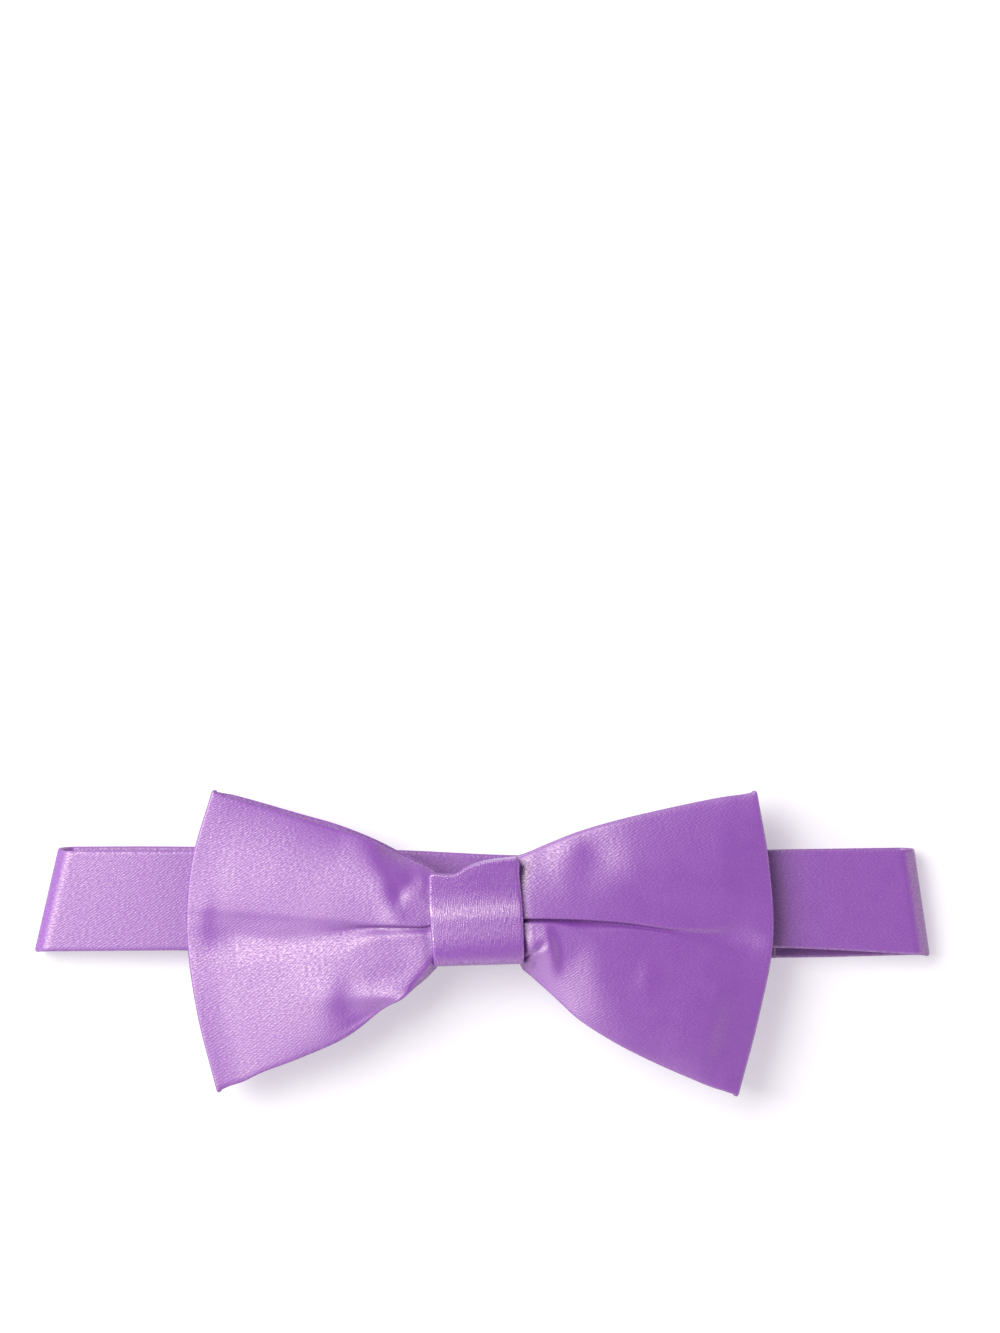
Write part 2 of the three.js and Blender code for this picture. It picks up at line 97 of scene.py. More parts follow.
# The front layer in sections. out is -1 at the middle of the knot, 0 at its mouth, 1 at the outer fold.
# z is its height, top and bottom are its edges, and the droops are how far these roll back, with a power
# for each. The pleat is dip deep on its line, above wide over the line and below wide under it, and lies
# in a valley of its own.
SECTION = (
    "out", "z", "top", "bottom", "top_droop", "low_droop", "top_roll", "low_roll",
    "dip", "above", "below", "line", "valley",
)
WINGS = {
    "left": [
        (-1.00, 15.60, 13.2, -2.2, 4.60, 3.60, 2.0, 3.0, 3.40, 1.20, 1.20, 4.60, 0.00),
        (-0.06, 15.70, 13.6, -3.4, 4.60, 3.80, 3.0, 3.0, 2.00, 0.60, 0.60, 3.80, 0.00),
        (0.00, 16.15, 14.8, -4.9, 4.90, 3.60, 3.6, 5.0, 0.90, 0.35, 0.35, 3.70, 0.00),
        (0.005, 16.20, 14.9, -5.1, 5.03, 3.03, 3.8, 7.8, 0.90, 0.30, 0.80, 3.49, 0.39),
        (0.05, 16.40, 15.9, -7.2, 5.19, 2.39, 4.5, 12.8, 0.95, 0.28, 0.90, 3.26, 0.72),
        (0.13, 16.21, 17.6, -9.9, 6.60, 0.15, 4.9, 12.1, 1.04, 0.39, 1.10, 3.24, 0.92),
        (0.26, 15.81, 20.4, -13.8, 4.00, 0.80, 2.7, 5.0, 1.08, 0.54, 1.40, 3.17, 0.99),
        (0.43, 15.36, 23.1, -19.1, 3.87, 0.48, 2.1, 14.7, 0.65, 1.93, 3.69, 2.24, 1.15),
        (0.61, 14.49, 25.4, -22.8, 2.96, 0.30, 2.1, 10.3, 0.73, 2.88, 3.09, 0.69, 1.19),
        (0.80, 12.91, 27.9, -26.1, 1.32, 0.03, 2.5, 11.4, 1.03, 3.55, 3.77, 1.43, 0.57),
        (0.88, 12.23, 28.9, -27.9, 0.56, 0.00, 3.6, 11.7, 0.71, 4.58, 3.89, 1.44, 0.31),
        (0.94, 11.86, 29.7, -28.8, 0.16, 0.02, 5.3, 11.4, 0.30, 3.07, 4.80, 2.29, 0.33),
        (1.00, 11.66, 30.8, -30.1, 0.00, 0.00, 6.3, 11.8, 0.00, 3.95, 3.43, 2.85, 0.61),
    ],
    "right": [
        (-1.00, 15.60, 13.2, -2.2, 4.60, 3.60, 2.0, 3.0, 3.40, 1.20, 1.20, 4.60, 0.00),
        (-0.06, 15.80, 16.0, -3.0, 4.20, 4.00, 2.0, 2.5, 2.20, 0.60, 0.60, 4.70, 0.00),
        (0.00, 16.55, 17.2, -5.2, 3.50, 3.90, 2.3, 2.0, 1.50, 0.30, 0.40, 4.85, 0.00),
        (0.005, 16.75, 17.3, -5.2, 3.52, 4.10, 2.3, 2.0, 1.50, 0.26, 0.36, 4.84, 0.66),
        (0.05, 17.01, 18.0, -7.0, 3.08, 4.24, 2.0, 2.0, 1.40, 0.25, 0.32, 4.84, 0.85),
        (0.13, 17.21, 19.7, -10.1, 3.30, 3.37, 2.1, 2.0, 1.50, 0.25, 0.40, 4.83, 1.06),
        (0.26, 16.99, 22.2, -15.1, 2.60, 1.76, 3.0, 2.0, 1.60, 0.25, 0.99, 4.60, 1.02),
        (0.43, 16.50, 24.6, -19.9, 2.22, 1.21, 2.2, 6.2, 1.10, 0.44, 0.44, 3.71, 1.13),
        (0.61, 16.11, 26.7, -24.0, 2.27, 1.69, 2.0, 6.7, 0.60, 0.50, 0.45, 2.44, 1.51),
        (0.80, 15.39, 28.7, -27.7, 2.13, 1.74, 2.0, 6.8, 0.62, 1.47, 1.86, 1.41, 1.69),
        (0.88, 14.26, 29.4, -29.0, 1.11, 0.65, 2.6, 4.7, 0.19, 2.75, 3.01, 0.90, 0.84),
        (0.94, 13.61, 29.8, -29.8, 0.56, 0.11, 4.0, 4.2, 0.00, 3.28, 4.80, 0.67, 0.40),
        (1.00, 13.02, 30.5, -30.8, 0.00, 0.00, 5.1, 4.0, 0.00, 3.19, 4.38, 0.60, 0.00),
    ],
}
VALLEY_WIDTH = 11
# The back layer stands past the front's top edge by this much. It grows between two distances out, and
# ends over the last part.
BACK_PEEK = {"left": 0.6, "right": 0.1}
PEEK_GROWS = (0.1, 0.5)
PEEK_ENDS = 0.1
# The powers of the superellipses that the outer fold's section is, on its outer and inner face
FOLD_POWER = 6
INNER_FOLD_POWER = 2
INNER_SOFTNESS = 1.2  # the inner face's pleats and dents are this much wider

# Dents and swellings of the front layer: their middle, the turn of their long axis in degrees from +X,
# half their length, half their width to the right and to the left of that axis, how far they rise, and
# their power, which is higher for a flat middle and a crisp edge.
DENT = ("x", "y", "turn", "long", "right", "left", "rise", "power")
DENTS = [
    (-12.3, 10.2, -76, 6.48, 5.77, 2.68, -1.46, 3.73),  # furrow above the left pleat
    (-15.0, 5.5, 2, 5.14, 3.68, 4.68, 0.51, 3.27),  # swelling between it and the pleat
    (-13.6, 8.9, 45, 4.12, 4.77, 2.73, 0.41, 3.53),  # puff on the furrow's inner side
    (-18.4, 12.1, -70, 5.01, 2.54, 1.42, -0.22, 1.91),  # the furrow's outer side
    (-18.6, 16.7, -79, 3.91, 2.02, 2.62, -0.39, 2.24),  # its upper end
    (-11.9, 13.7, -56, 5.91, 1.58, 2.13, 0.39, 2.25),  # ridge between it and the knot
    (-11.1, 8.1, 92, 4.13, 0.76, 1.24, 0.20, 2.17),  # narrow ridge beside the knot
    (-21.5, -13.0, 31, 9.31, 1.30, 5.87, -0.76, 3.15),  # hollow at the left wing's lower edge
    (-19.2, -10.9, -2, 9.76, 1.97, 3.22, 1.57, 1.93),  # roll above that hollow
    (-44.2, 4.6, -4, 15.88, 1.77, 1.03, -0.18, 2.25),  # upper edge of the left pleat
    (-30.0, 1.8, 13, 8.27, 1.40, 1.14, -0.12, 2.21),  # its soft bottom
    (-54.0, 1.8, 2, 2.63, 2.46, 2.36, -0.04, 1.92),  # dimple at the left pleat's outer end
    (-27.1, -10.8, 92, 3.73, 3.57, 3.21, -0.56, 2.25),  # outer end of the lower edge's hollow
    (22.3, 17.8, -34, 5.54, 7.81, 4.87, -0.95, 2.08),  # dimple in the right wing's upper half
    (13.4, -0.9, 102, 4.20, 1.60, 2.60, 0.80, 2.60),  # crumple below the right pleat
    (18.1, -2.9, 39, 5.13, 2.70, 1.67, -0.08, 1.77),  # shallow hollow on its outer side
    (11.7, -0.6, 46, 1.10, 0.70, 0.70, -0.40, 2.00),  # pit in it
    (9.6, -2.0, 32, 1.60, 0.40, 0.35, -0.35, 2.00),  # crease from it to the knot
    (9.3, -4.1, 10, 1.06, 1.00, 0.97, 0.54, 2.04),  # small crumple at the knot's lower corner
    (10.2, -5.2, 19, 0.78, 0.80, 0.72, -0.08, 2.08),  # pit below it
    (33.1, -6.3, 80, 3.19, 1.88, 1.43, 0.13, 1.91),  # faint ridge in the right wing's lower half
    (53.4, 0.9, -22, 4.13, 2.01, 2.06, -0.32, 2.22),  # dimple at the right pleat's outer end
    (9.4, -0.8, 0, 2.20, 2.40, 3.20, 1.10, 2.00),  # swelling between the right pleat and the knot
]

# The knot's edges along its width
KNOT_EDGES = {
    "x": (-10.5, -6.5, -4.8, -3.2, 1.0, 7.9),
    "top": (14.3, 14.1, 14.5, 15.5, 16.8, 17.6),
    "bottom": (-4.6, -4.5, -4.45, -4.4, -4.3, -4.1),
}
# Its left and right sides lean and bow: how far each lies from the middle, from the bottom up
KNOT_SIDES = {
    "y": (-4.5, 2, 8, 12, 15),
    "left": (8.3, 8.8, 9.25, 9.15, 8.9),
    "right": (9.3, 9.05, 8.6, 8.2, 7.8),
}
KNOT_MIDDLE = 4.5
KNOT_CROWN = 0.25  # its front falls this far from the middle to its left and right edges
KNOT_RAISE = 0.4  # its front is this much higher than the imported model's
# How far the front tilts back along its height, in degrees. It has a shallow hollow under its top edge.
KNOT_FRONT = {
    "y": (-5, -2.6, -1.6, -0.6, 0.4, 2.4, 4.4, 5.4, 6.4, 7.4, 8.4, 9.4, 10.4, 11.4, 12.6, 18),
    "tilt": (-12, -12, -9, -5.0, -1.5, 2.2, 2.6, 5.5, 11.5, 10.5, 4.0, 1.0, -2.0, -5.0, -6.0, -6.0),
}
KNOT_TWIST = 1.2  # these heights are this much lower at its left edge than at its right one
# The power of the superellipse that the knot's ring is, and that of its upper front corner
KNOT_POWER = 8
KNOT_TOP_POWER = 60
CORNER_WEIGHT = 0.15  # how much its bend counts beside its length where its points are spaced

# The edges of the band's strands
FRONT_STRAND = {
    "x": (-88, -60, -24, -11.5, -1.3, 9, 22, 60, 89),
    "top": (18.2, 18.2, 18.1, 11.4, 12.0, 13.2, 18.2, 18.3, 18.4),
    "bottom": (-1.5, -1.2, -1.0, -1.5, -1.4, -1.2, -1.2, -0.7, -2.2),
}
BACK_STRAND = {
    "x": (-88, -64, -19, 7, 22, 46, 62, 89),
    "top": (18.8, 18.8, 18.1, 17.0, 17.4, 17.9, 18.2, 18.6),
    "bottom": (-1.6, -1.6, -2.6, -3.0, -2.7, -2.7, -3.1, -2.5),
}
LOOP_HEIGHT = 6.8  # of the round turns at the band's ends
BAND_FALL = 58  # the front strand falls towards the turns from this far out
END_SLOPE = 2.5  # degrees, where it meets them
BAND_REACH = {"left": 90.0, "right": 90.3}
BAND_LEAN = {"left": 2.36, "right": -1.55}  # how far the turns' top edges lie right of their middles
LEAN_FROM = 62
BAR = 2  # width of the clasp's end bars
TAIL_LENGTH = 14  # of the ends that are laid back, and the length of the slope in them
TAIL_SLOPE = 5

# How finely the meshes are divided: rows or points in each stretch
BOW_ROWS = {"in the knot": 9, "front": 105, "fold": 33, "back": 28}
BOW_HALF_POINTS = 61
BOW_CROWDING = {"front": 0.5, "back": 0, "across": 0.72}  # 0 for even steps, up to 1
KNOT_ROWS = 320
KNOT_POINTS = 33
BAND_ROWS = {
    "tail": 12, "slope": 14, "bar": 4, "bar turn": 20, "fall": 50, "front": 110, "end turn": 28,
    "rear left": 110, "rear right": 50,
}
BAND_POINTS = 41
CURVE_STEPS = 6001
PROFILE_STEPS = 400
RIM_TURNS = (36, 72, 108, 144)  # degrees, where the points round a cloth wall's edge are

# Colours of the satin in linear light: its ground, and the pale tips of its threads
LILAC = (0.146, 0.019, 0.268)
LILAC_THREAD = (0.180, 0.034, 0.315)

# The weave in millimetres, its roughness, and how far the roughness differs between threads
FLAT_WEAVE = {
    "Pitch": 0.5, "Float length": 0.7, "Float width": 0.32, "Relief": 0.028, "Roughness": 0.5,
    "Unevenness": 0.45,
}
KNOT_WEAVE = {
    "Pitch": 0.42, "Float length": 1.5, "Float width": 0.22, "Relief": 0.06, "Roughness": 0.43,
    "Unevenness": 0.8,
}
FLAT_STREAK = 0.6  # how narrow the sheen is along the threads
KNOT_STREAK = 0.8
TWILL_DIRECTION = (-0.60, 0.80, 0)
TWILL_DRIFT = 1.6  # how many pitches the twill lines stray
# How much the twill lines, the thread floats and the mottle each count for
WEAVE_SHARES = {
    "height": {"twill": 0.22, "floats": 1.6},
    "tint": {"floats": 0.9, "mottle": 0.5},
    "roughness": {"twill": 0.015, "mottle": 0.12},
    "glint": {"twill": 0.05},
}
NOISE_MIDDLE = 0.5
# Scale and detail of each noise
NOISES = {"drift": (0.9, 2.0), "floats": (1.0, 0.5), "mottle": (0.22, 3.0), "strokes": (1.0, 3.0)}
# The tips of the threads glint from the first value up, and fully from the second.
GLINT_FROM = (0.38, 0.66)
GLINT = 0.3
# A Mix node's sockets for colours go by number, because others have the same names.
MIX_COLOURS = (6, 7)
MIX_RESULT = 2
SHEEN = {
    "Anisotropic Rotation": 0.25,
    "Coat Roughness": 0.42,
    "Coat IOR": 1.8,
    "IOR": 1.8,
    "Specular IOR Level": 1.0,
    "Specular Tint": (0.86, 0.79, 0.60, 1),
}

STEEL = (0.50, 0.51, 0.53)
STEEL_ROUGHNESS = (0.22, 0.42)
BRUSH_DEPTH = 0.004
BRUSHED = (9000, 500, 9000)  # strokes a metre, long in Y


def smooth_column(known, values, at):
    """A smooth curve through a table: cubic pieces whose slopes come from the neighbouring rows."""
    known = np.asarray(known, float)
    values = np.asarray(values, float)
    before = np.maximum(np.arange(len(known)) - 1, 0)
    after = np.minimum(np.arange(len(known)) + 1, len(known) - 1)
    slopes = (values[after] - values[before]) / (known[after] - known[before])
    at = np.clip(at, known[0], known[-1])
    i = np.clip(np.searchsorted(known, at), 1, len(known) - 1)
    step = known[i] - known[i - 1]
    t = (at - known[i - 1]) / step
    rise = 3 * t**2 - 2 * t**3
    bend = step * t * (1 - t) * (slopes[i - 1] * (1 - t) - slopes[i] * t)
    return values[i - 1] * (1 - rise) + values[i] * rise + bend


def smoothstep(value, start, end):
    """0 before start and 1 after end, with a smooth rise between them: three squares less two cubes."""
    t = np.clip((value - start) / (end - start), 0, 1)
    return t * t * (3 - 2 * t)


def eased(count, crowding):
    """Numbers from 0 to 1 whose steps grow with their distance from 0."""
    share = np.linspace(0, 1, count)
    return share * (1 - crowding + crowding * share)


def dents_at(x, y, soften):
    """How far the dents lift the front layer: a sum of bell curves, each with its own turn, widths and
    power. Away from its middle, a curve falls as e to the minus distance raised to that power."""
    lift = np.zeros_like(x)
    for row in DENTS:
        dent = dict(zip(DENT, row))
        turn = math.radians(dent["turn"])
        dx = x - dent["x"]
        dy = y - dent["y"]
        lengthwise = dx * math.cos(turn) + dy * math.sin(turn)
        sidewise = dy * math.cos(turn) - dx * math.sin(turn)
        width = np.where(sidewise > 0, dent["left"], dent["right"]) + soften
        away = (lengthwise / (dent["long"] + soften)) ** 2 + (sidewise / width) ** 2
        lift += dent["rise"] * np.exp(-(away ** (dent["power"] / 2)))
    return lift


def wing(name, side, soften):
    """One wing as a grid of points: out from the knot along its front, round its outer fold and back.
    Across a row, points lie from the bottom edge (-1) over the pleat's line (0) to the top edge (1)."""
    table = dict(zip(SECTION, np.array(WINGS[name]).T))

    def at(column, out):
        """A column of the wing's sections at any distance out."""
        return smooth_column(table["out"], table[column], out)

    half = eased(BOW_HALF_POINTS, BOW_CROWDING["across"])
    across = np.concatenate([-half[:0:-1], half])[None, :]
    reach = smooth_column(FOLD_LINE["across"], FOLD_LINE[name], across)
    mouth_y = np.interp(across, (-1, 0, 1), [at(edge, 0.0) for edge in ("bottom", "line", "top")])
    mouth = smooth_column(KNOT_SIDES["y"], KNOT_SIDES[name], mouth_y) + MOUTH_GAP
    fold_from = 1 - FOLD_DEPTH / (reach - mouth)

    def x_at(out):
        """Even steps from the middle of the knot to its mouth, and from there to the fold line."""
        inside = mouth * (1 + out)
        outside = mouth + out * (reach - mouth)
        return KNOT_X + side * np.where(out < 0, inside, outside)

    def y_at(out, peek):
        """Shares of the way from the pleat's line to either edge. The peek moves the top edge out."""
        line = at("line", out)
        top = at("top", out) + peek * smoothstep(out, *PEEK_GROWS) * smoothstep(1 - out, 0, PEEK_ENDS)
        return line + across * np.where(across > 0, top - line, line - at("bottom", out))

    def front(out):
        """The section's height, less the edges' roll and two bell curves, the pleat and its valley."""
        x = x_at(out)
        y = y_at(out, 0)
        off = y - at("line", out)
        width = np.where(off > 0, at("above", out), at("below", out)) + soften
        pleat = at("dip", out) * np.exp(-((off / width) ** 2))
        pleat += at("valley", out) * np.exp(-((off / VALLEY_WIDTH) ** 2))
        top_roll = at("top_droop", out) * np.abs(across) ** at("top_roll", out)
        low_roll = at("low_droop", out) * np.abs(across) ** at("low_roll", out)
        roll = np.where(across > 0, top_roll, low_roll)
        return np.stack([x, y, at("z", out) - roll - pleat + dents_at(x, y, soften)], -1)

    def ways(stretch):
        """How far out the rows lie, from the middle of the knot to where the fold begins."""
        inside = np.linspace(-1, 0, BOW_ROWS["in the knot"])[:-1, None] + 0 * across
        outside = eased(BOW_ROWS[stretch], BOW_CROWDING[stretch])[:-1, None] * fold_from
        return np.concatenate([inside, outside])

    turns = np.linspace(0, math.pi, BOW_ROWS["fold"])[:, None]
    power = INNER_FOLD_POWER if soften else FOLD_POWER
    depth = np.abs(np.sin(turns)) ** (2 / power)
    rise = np.sign(np.cos(turns)) * np.abs(np.cos(turns)) ** (2 / power)
    folded = front(fold_from + (1 - fold_from) * depth)
    brink = np.where(rise > 0, folded[..., 2], folded[len(turns) // 2, :, 2])
    folded[..., 2] = BOW_BACK + (brink - BOW_BACK) * (1 + rise) / 2
    inward = ways("back")[::-1]
    back = np.stack([x_at(inward), y_at(inward, BACK_PEEK[name]), BOW_BACK + 0 * inward], -1)
    return np.concatenate([front(ways("front")), folded, back])


def bow_grid(soften=0):
    """Both wings in one loop, which begins at the middle of the knot, on the front."""
    right = wing("right", 1, soften)
    left = wing("left", -1, soften)[::-1]
    return np.concatenate([right, left[1:-1]])


def ring_points(count, top_power):
    """Points round a superellipse of half size 1, whose upper front corner has a power of its own.
    They lie at even steps of its length plus a share of its bend, and so they crowd at its corners."""
    turn = np.linspace(0, 2 * math.pi, CURVE_STEPS)
    power = np.where((np.cos(turn) > 0) & (np.sin(turn) > 0), top_power, KNOT_POWER)
    ring = np.stack([np.cos(turn), np.sin(turn)], -1)
    ring = np.sign(ring) * np.abs(ring) ** (2 / power[:, None])
    step = np.diff(ring, axis=0)
    heading = np.unwrap(np.arctan2(step[:, 1], step[:, 0]))
    bend = np.abs(np.diff(heading, append=heading[-1]))
    way = np.cumsum(np.linalg.norm(step, axis=-1) + CORNER_WEIGHT * bend)
    way = np.concatenate([[0], way])
    stops = np.linspace(0, way[-1], count + 1)[:-1]
    return np.interp(stops, way, ring[:, 0])[:, None], np.interp(stops, way, ring[:, 1])[:, None]


def knot_grid(top_power):
    """A tall round-cornered ring. Its front is lowered by the sum of its tilts over the height."""
    upward, forward = ring_points(KNOT_ROWS, top_power)
    share = np.linspace(-0.5, 0.5, KNOT_POINTS)[None, :]
    x = KNOT_X + KNOT_WIDTH * share + 0 * upward
    top = smooth_column(KNOT_EDGES["x"], KNOT_EDGES["top"], x)
    bottom = smooth_column(KNOT_EDGES["x"], KNOT_EDGES["bottom"], x)
    high = knot_high[2] + KNOT_RAISE
    half = (high - knot_low[2]) / 2
    y = KNOT_MIDDLE + upward * np.where(upward > 0, top - KNOT_MIDDLE, KNOT_MIDDLE - bottom)
    z = high - half + half * forward
    line = np.linspace(KNOT_FRONT["y"][0], KNOT_FRONT["y"][-1], PROFILE_STEPS)
    slope = np.tan(np.radians(smooth_column(KNOT_FRONT["y"], KNOT_FRONT["tilt"], line)))
    fall = np.cumsum(slope) * (line[1] - line[0])
    fall = np.interp(y - KNOT_TWIST * share, line, fall - fall.min()) + KNOT_CROWN * (2 * share) ** 2
    z = z - fall * np.maximum(forward, 0)
    left = smooth_column(KNOT_SIDES["y"], KNOT_SIDES["left"], y)
    right = smooth_column(KNOT_SIDES["y"], KNOT_SIDES["right"], y)
    x = KNOT_X - left * (0.5 - share) + right * (0.5 + share)
    return np.stack([x, y, z + 0 * x], -1)


def path_line(x0, z0, x1, z1, count):
    """Even steps along a straight line."""
    return np.stack([np.linspace(x0, x1, count), np.linspace(z0, z1, count)], -1)


def path_slope(x0, z0, x1, z1, count):
    """A level start and a level end, with a smooth slope between them."""
    t = np.linspace(0, 1, count)
    return np.stack([x0 + (x1 - x0) * t, z0 + (z1 - z0) * smoothstep(t, 0, 1)], -1)


def path_arc(x, z, radius, start, end, count):
    """Part of a circle, between two turns in degrees from +X towards +Z."""
    turn = np.radians(np.linspace(start, end, count))
    return np.stack([x + radius * np.cos(turn), z + radius * np.sin(turn)], -1)


def path_rise(x0, z0, x1, z1, slope, count):
    """Leaves its first point at a slope in degrees and grows level towards its last point."""
    t = np.linspace(0, 1, count)
    power = math.tan(math.radians(slope)) * abs(x1 - x0) / (z1 - z0)
    return np.stack([x0 + (x1 - x0) * t, z1 - (z1 - z0) * (1 - t) ** power], -1)


def band_path():
    """The band's outer face seen from its edge: lines, slopes and arcs that meet end to end. They run
    from one end that is laid back, round both strands, to the other one."""
    rows = BAND_ROWS
    radius = LOOP_HEIGHT / 2
    clasp_x = (clasp_low[0] + clasp_high[0]) / 2
    plate = clasp_high[2] - clasp_low[2]
    cloth = clasp_low[2] - EASE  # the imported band's thickness
    bar_turn = plate / 2 + EASE + cloth
    bar_end = clasp_high[0] - clasp_x
    turn_at = bar_end - BAR - EASE
    slope_at = bar_end + EASE
    tail_high = 2 * bar_turn
    tail_low = 2 * cloth + EASE
    slope_end = slope_at + TAIL_SLOPE
    tail_end = slope_at + TAIL_LENGTH
    left = radius - BAND_REACH["left"]
    right = BAND_REACH["right"] - radius
    lean_x = radius * math.sin(math.radians(END_SLOPE))
    end_z = radius * (1 + math.cos(math.radians(END_SLOPE)))
    parts = [
        path_line(clasp_x - tail_end, tail_low, clasp_x - slope_end, tail_low, rows["tail"]),
        path_slope(clasp_x - slope_end, tail_low, clasp_x - slope_at, tail_high, rows["slope"]),
        path_line(clasp_x - slope_at, tail_high, clasp_x - turn_at, tail_high, rows["bar"]),
        path_arc(clasp_x - turn_at, bar_turn, bar_turn, 90, -90, rows["bar turn"]),
        path_line(clasp_x - turn_at, 0, left, 0, rows["rear left"]),
        path_arc(left, radius, radius, 270, 90 + END_SLOPE, rows["end turn"]),
        path_rise(left - lean_x, end_z, -BAND_FALL, BAND_TOP, END_SLOPE, rows["fall"]),
        path_line(-BAND_FALL, BAND_TOP, BAND_FALL, BAND_TOP, rows["front"]),
        path_rise(right + lean_x, end_z, BAND_FALL, BAND_TOP, END_SLOPE, rows["fall"])[::-1],
        path_arc(right, radius, radius, 90 - END_SLOPE, -90, rows["end turn"]),
        path_line(right, 0, clasp_x + turn_at, 0, rows["rear right"]),
        path_arc(clasp_x + turn_at, bar_turn, bar_turn, -90, -270, rows["bar turn"]),
        path_line(clasp_x + turn_at, tail_high, clasp_x + slope_at, tail_high, rows["bar"]),
        path_slope(clasp_x + slope_at, tail_high, clasp_x + slope_end, tail_low, rows["slope"]),
        path_line(clasp_x + slope_end, tail_low, clasp_x + tail_end, tail_low, rows["tail"]),
    ]
    return np.concatenate([parts[0]] + [part[1:] for part in parts[1:]])


def band_grid():
    """Rows across the path, each from the band's bottom edge to its top edge. The turns lean. The edges
    change from the rear strand's to the front's between four cloths up and one cloth below the top."""
    path = band_path()
    x = path[:, :1]
    z = path[:, 1:]
    share = smoothstep(z, 4 * BAND_CLOTH, LOOP_HEIGHT - BAND_CLOTH)

    def edge(name):
        rear = smooth_column(BACK_STRAND["x"], BACK_STRAND[name], x)
        front = smooth_column(FRONT_STRAND["x"], FRONT_STRAND[name], x)
        return (1 - share) * rear + share * front

    lean = np.where(x < 0, BAND_LEAN["left"], BAND_LEAN["right"])
    lean = lean * smoothstep(np.abs(x), LEAN_FROM, BAND_REACH["left"])
    across = np.linspace(-1, 1, BAND_POINTS)[None, :]
    y = edge("bottom") + (edge("top") - edge("bottom")) * (1 + across) / 2
    return np.stack([x + lean * across, y, z + 0 * across], -1)


def unit(vectors):
    """Each vector over its own length."""
    return vectors / np.linalg.norm(vectors, axis=-1, keepdims=True)


def lengths(grid, axis):
    """Distances along the lines of a grid from its first point."""
    steps = np.linalg.norm(np.diff(grid, axis=axis), axis=-1)
    start = np.zeros_like(np.take(steps, [0], axis))
    return np.concatenate([start, np.cumsum(steps, axis)], axis)


def inner_face(base, thickness, closed):
    """The base moved back by the thickness, against the cross product of its two directions."""
    if closed:
        along = np.roll(base, -1, 0) - np.roll(base, 1, 0)
    else:
        along = np.gradient(base, axis=0)
    return base - thickness * unit(np.cross(along, np.gradient(base, axis=1)))


def round_rim(outer, inner, j, beside):
    """Points half round from point j of each outer row to that of the inner row. They bulge away from
    the point beside it."""
    middle = (outer[:, j] + inner[:, j]) / 2
    arm = (outer[:, j] - inner[:, j]) / 2
    reach = np.linalg.norm(arm, axis=-1, keepdims=True)
    outward = unit(outer[:, j] - outer[:, beside])
    turns = np.radians(RIM_TURNS)
    return np.stack([middle + arm * math.cos(t) + outward * reach * math.sin(t) for t in turns], 1)


def cloth_map(outer):
    """Millimetres along and across the cloth, for each point of the wall's rings. The inner face has its
    outer face's values, and one more row and point close the map where the wall meets itself."""
    u = lengths(outer[:, outer.shape[1] // 2][:, None], 0)
    v = lengths(outer, 1)
    v -= v[:, [v.shape[1] // 2]]
    rim = np.ones((len(outer), len(RIM_TURNS)))
    v = np.concatenate([v, v[:, -1:] * rim, v[:, ::-1], v[:, :1] * rim], 1)
    uv = np.stack([u + 0 * v, v], -1)
    uv = np.concatenate([uv, uv[:, :1]], 1)
    seam = np.linalg.norm(outer[0, 0] - outer[-1, 0])
    return np.concatenate([uv, uv[:1] + [u[-1, 0] + seam, 0]])


def cloth_wall(name, outer, thickness, closed, inner_base=None):
    """A wall of cloth. Its section is a ring: the outer face, a half-round rim, the inner face, which
    lies the thickness behind, and the other rim. The wall is one loop, or it has flat ends."""
    inner = inner_face(outer if inner_base is None else inner_base, thickness, closed)
    far_rim = round_rim(outer, inner, -1, -2)
    near_rim = round_rim(outer, inner, 0, 1)[:, ::-1]
    ring = np.concatenate([outer, far_rim, inner[:, ::-1], near_rim], 1)
    rows, points = ring.shape[:2]
    uv = cloth_map(outer)

    spans = rows if closed else rows - 1
    i, p = np.meshgrid(np.arange(spans), np.arange(points), indexing="ij")
    corners = [(i, p), (i + 1, p), (i + 1, p + 1), (i, p + 1)]
    faces = np.stack([(a % rows) * points + b % points for a, b in corners], -1).reshape(-1, 4)
    face_uv = np.stack([uv[a, b] for a, b in corners], -2).reshape(-1, 4, 2)

    # Flat ends: quads between the two faces, and a cap at each rim
    ends = [] if closed else [(0, 0, 1), ((rows - 1) * points, rows - 1, -1)]
    width = outer.shape[1]
    rim = len(RIM_TURNS)
    j = np.arange(width - 1)
    behind = 2 * width + rim - 1 - j
    end_quads = np.stack([j, j + 1, behind - 1, behind], -1)
    caps = [list(range(width - 1, width + rim + 1)), list(range(points - rim - 1, points)) + [0]]
    for first, row, way in ends:
        faces = np.concatenate([faces, first + end_quads[:, ::way]])
        face_uv = np.concatenate([face_uv, uv[row, end_quads[:, ::way]]])

    # The faces point outwards where the volume that they close in is positive.
    places = ring.reshape(-1, 3) * MM
    corner = places[faces]
    volume = np.einsum("ij,ij->", corner[:, 0], np.cross(corner[:, 1], corner[:, 2]))
    volume += np.einsum("ij,ij->", corner[:, 0], np.cross(corner[:, 2], corner[:, 3]))
    turned = 1 if volume >= 0 else -1
    polygons = faces[:, ::turned].tolist()
    flat_uv = face_uv[:, ::turned].reshape(-1, 2)
    for cap in caps:
        for first, row, way in ends:
            order = cap[:: way * turned]
            polygons.append([int(first + k) for k in order])
            flat_uv = np.concatenate([flat_uv, uv[row, order]])

    mesh = bpy.data.meshes.new(name)
    mesh.from_pydata(places.tolist(), [], polygons)
    mesh.uv_layers.new(name="cloth").uv.foreach_set("vector", flat_uv.astype(np.float32).ravel())
    mesh.shade_smooth()
    mesh.validate()
    piece = bpy.data.objects.new(name, mesh)
    bpy.context.scene.collection.objects.link(piece)
    return piece


